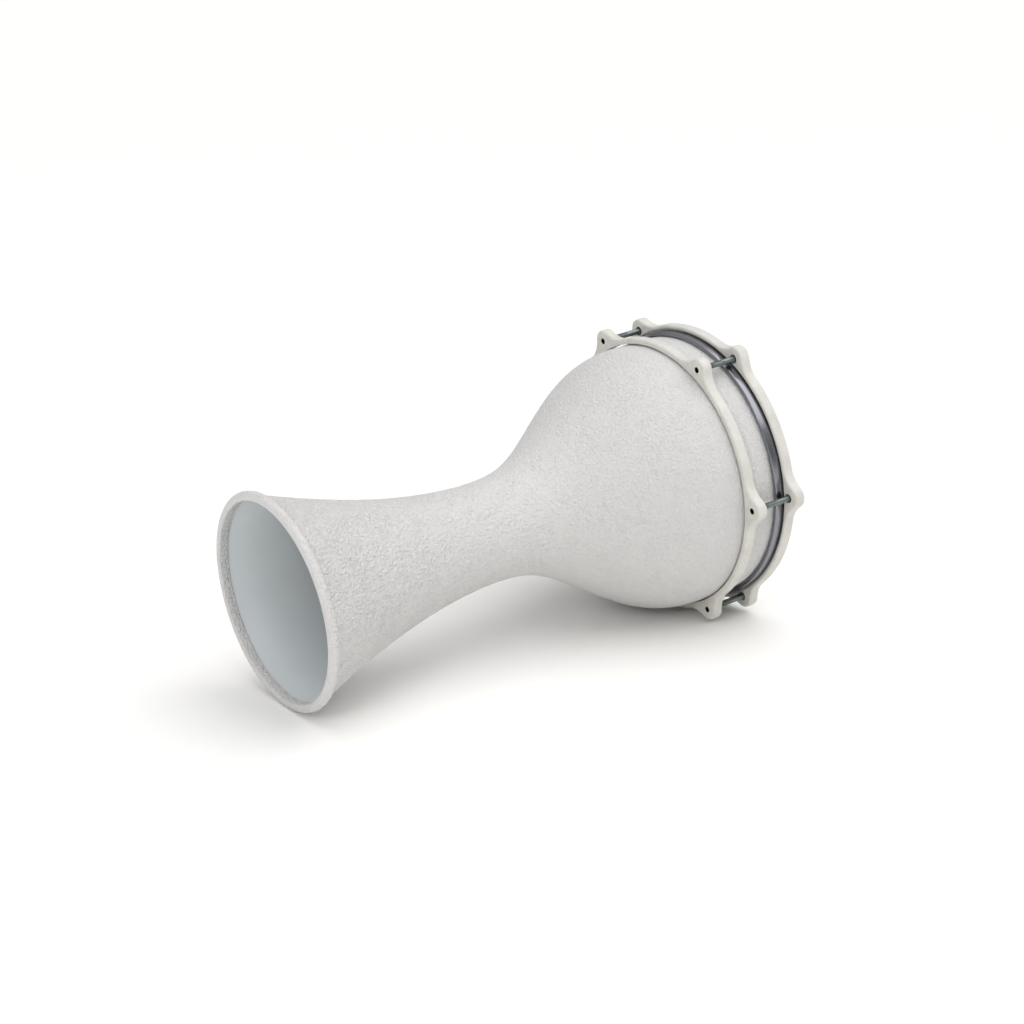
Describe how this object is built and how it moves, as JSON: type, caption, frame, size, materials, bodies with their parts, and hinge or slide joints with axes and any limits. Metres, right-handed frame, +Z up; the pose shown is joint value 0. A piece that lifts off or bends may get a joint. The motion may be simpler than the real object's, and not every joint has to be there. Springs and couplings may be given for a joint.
{
  "type": "goblet drum",
  "caption": "Goblet hand drum with a flared open foot, a narrow neck, a round bowl and a plastic head held by eared cast rings and socket screws, lying on its side.",
  "frame": {"origin": "on the ground under the middle of the drum's box as it lies on its side, resting on its foot rim and on the edge of the lower ring between two ears", "axes": "+Z up from the ground, +X from the foot towards the head, +Y to the left of that; the drum's own axis leans up from +X by 4.68 degrees and lies in the XZ plane"},
  "size_m": [0.4501, 0.271, 0.2475],
  "materials": {
    "textured_coat": "thick wrinkle coat, satin, pale lavender white",
    "ring_coat": "fine-textured powder coat, satin, warm white",
    "drumhead": "matt white sprayed plastic film",
    "hoop_metal": "polished",
    "resin": "set resin",
    "screw_steel": "zinc plated",
    "washer_steel": "zinc plated"
  },
  "bodies": {
    "drum": {"shell": "textured_coat", "lower_ring": "ring_coat", "head_film": "drumhead", "head_hoop": "hoop_metal", "hoop_resin": "resin"},
    "hoop_set": {"counter_hoop": "ring_coat", "screw_washer_1": "washer_steel", "screw_washer_2": "washer_steel", "screw_washer_3": "washer_steel", "screw_washer_4": "washer_steel", "screw_washer_5": "washer_steel", "screw_washer_6": "washer_steel"},
    "screw_1": {"tension_screw_1": "screw_steel"},
    "screw_2": {"tension_screw_2": "screw_steel"},
    "screw_3": {"tension_screw_3": "screw_steel"},
    "screw_4": {"tension_screw_4": "screw_steel"},
    "screw_5": {"tension_screw_5": "screw_steel"},
    "screw_6": {"tension_screw_6": "screw_steel"}
  },
  "joints": [
    {"name": "counter_hoop_travel", "type": "slide", "parent": "drum", "child": "hoop_set", "axis": [0.9967, 0, 0.0816], "range_m": [0, 0.003]},
    {"name": "screw_1_turn", "type": "hinge", "parent": "hoop_set", "child": "screw_1", "pos_m": [0.18943, 0.0625, 0.01402], "axis": [0.9967, 0, 0.0816], "range_deg": [0, 1360]},
    {"name": "screw_2_turn", "type": "hinge", "parent": "hoop_set", "child": "screw_2", "pos_m": [0.18059, 0.125, 0.12191], "axis": [0.9967, 0, 0.0816], "range_deg": [0, 1360]},
    {"name": "screw_3_turn", "type": "hinge", "parent": "hoop_set", "child": "screw_3", "pos_m": [0.17176, 0.0625, 0.2298], "axis": [0.9967, 0, 0.0816], "range_deg": [0, 1360]},
    {"name": "screw_4_turn", "type": "hinge", "parent": "hoop_set", "child": "screw_4", "pos_m": [0.17176, -0.0625, 0.2298], "axis": [0.9967, 0, 0.0816], "range_deg": [0, 1360]},
    {"name": "screw_5_turn", "type": "hinge", "parent": "hoop_set", "child": "screw_5", "pos_m": [0.18059, -0.125, 0.12191], "axis": [0.9967, 0, 0.0816], "range_deg": [0, 1360]},
    {"name": "screw_6_turn", "type": "hinge", "parent": "hoop_set", "child": "screw_6", "pos_m": [0.18943, -0.0625, 0.01402], "axis": [0.9967, 0, 0.0816], "range_deg": [0, 1360]}
  ],
  "couplings": [
    {"joint": "screw_1_turn", "follows": "counter_hoop_travel", "rad_per_m": 7854},
    {"joint": "screw_2_turn", "follows": "counter_hoop_travel", "rad_per_m": 7854},
    {"joint": "screw_3_turn", "follows": "counter_hoop_travel", "rad_per_m": 7854},
    {"joint": "screw_4_turn", "follows": "counter_hoop_travel", "rad_per_m": 7854},
    {"joint": "screw_5_turn", "follows": "counter_hoop_travel", "rad_per_m": 7854},
    {"joint": "screw_6_turn", "follows": "counter_hoop_travel", "rad_per_m": 7854}
  ]
}
